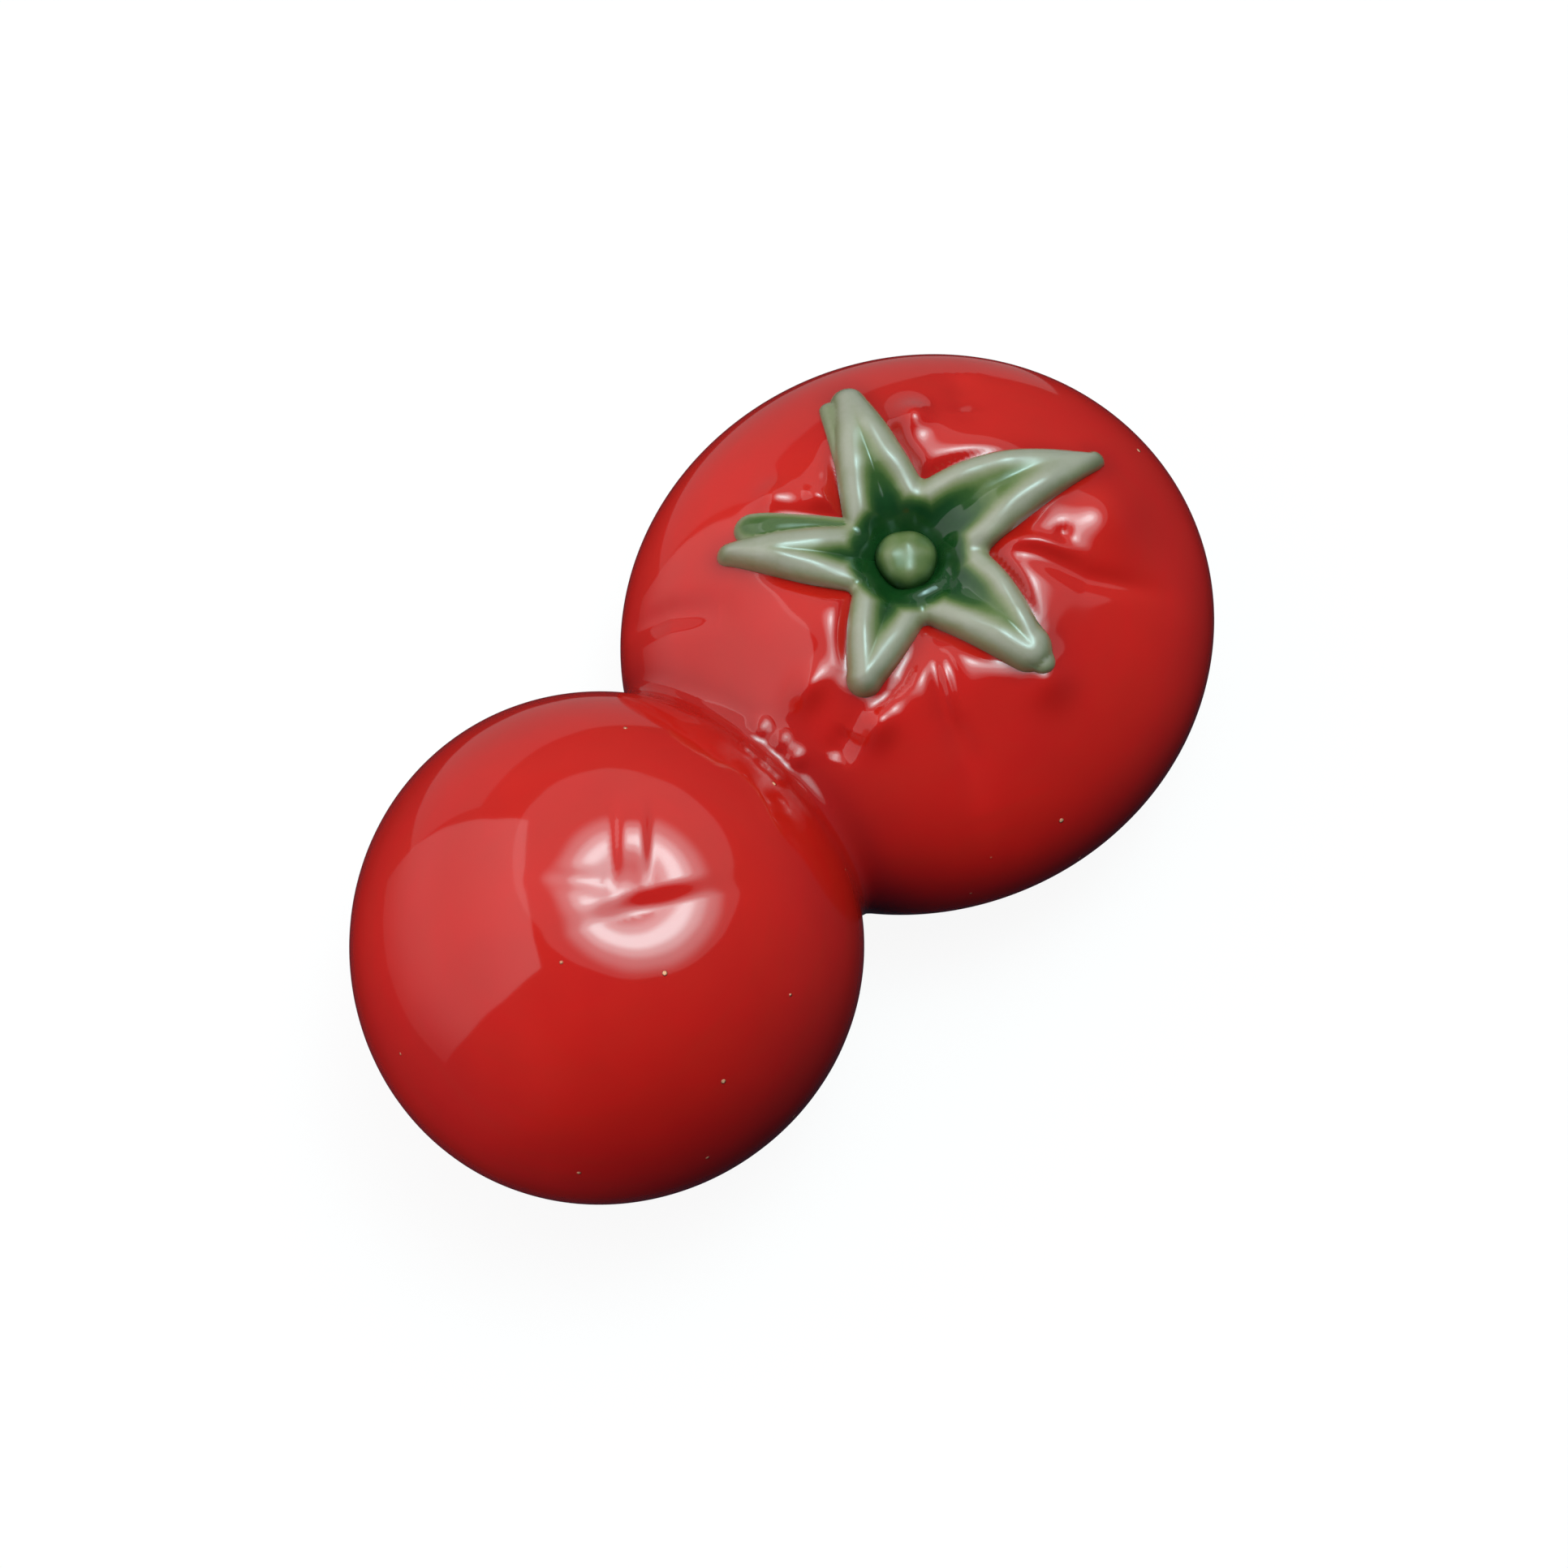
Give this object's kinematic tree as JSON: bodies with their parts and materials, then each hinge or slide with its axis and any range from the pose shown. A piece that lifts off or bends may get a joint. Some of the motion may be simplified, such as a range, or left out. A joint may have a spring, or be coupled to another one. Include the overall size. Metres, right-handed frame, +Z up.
{
  "type": "magnetic pin cushion",
  "caption": "Glazed ceramic pair of small tomatoes joined side by side, with a star calyx, magnets under the crowns to hold pins, and felt underneath.",
  "frame": {"origin": "middle of the object's bounding box in plan, on the surface that it stands on", "axes": "+X along the pair, from the plain front tomato to the rear tomato with the calyx; +Z up; +Y completes the right-handed frame"},
  "size_m": [0.0562, 0.0318, 0.023],
  "materials": {
    "red_glaze": "thick glossy tomato-red glaze",
    "green_glaze": "glossy translucent green glaze, pale where thin and dark where it pools",
    "nickel": "bright nickel plate",
    "adhesive": "cast epoxy, satin",
    "board": "plain grey-brown board",
    "felt": "short pressed wool felt"
  },
  "bodies": {
    "root": {"front_tomato": "red_glaze", "rear_tomato": "red_glaze", "calyx": "green_glaze", "stem_stub": "green_glaze", "front_magnet": "nickel", "rear_magnet": "nickel", "front_magnet_bed": "adhesive", "rear_magnet_bed": "adhesive", "front_closing_disc": "board", "rear_closing_disc": "board", "front_felt_disc": "felt", "rear_felt_disc": "felt"}
  },
  "joints": []
}
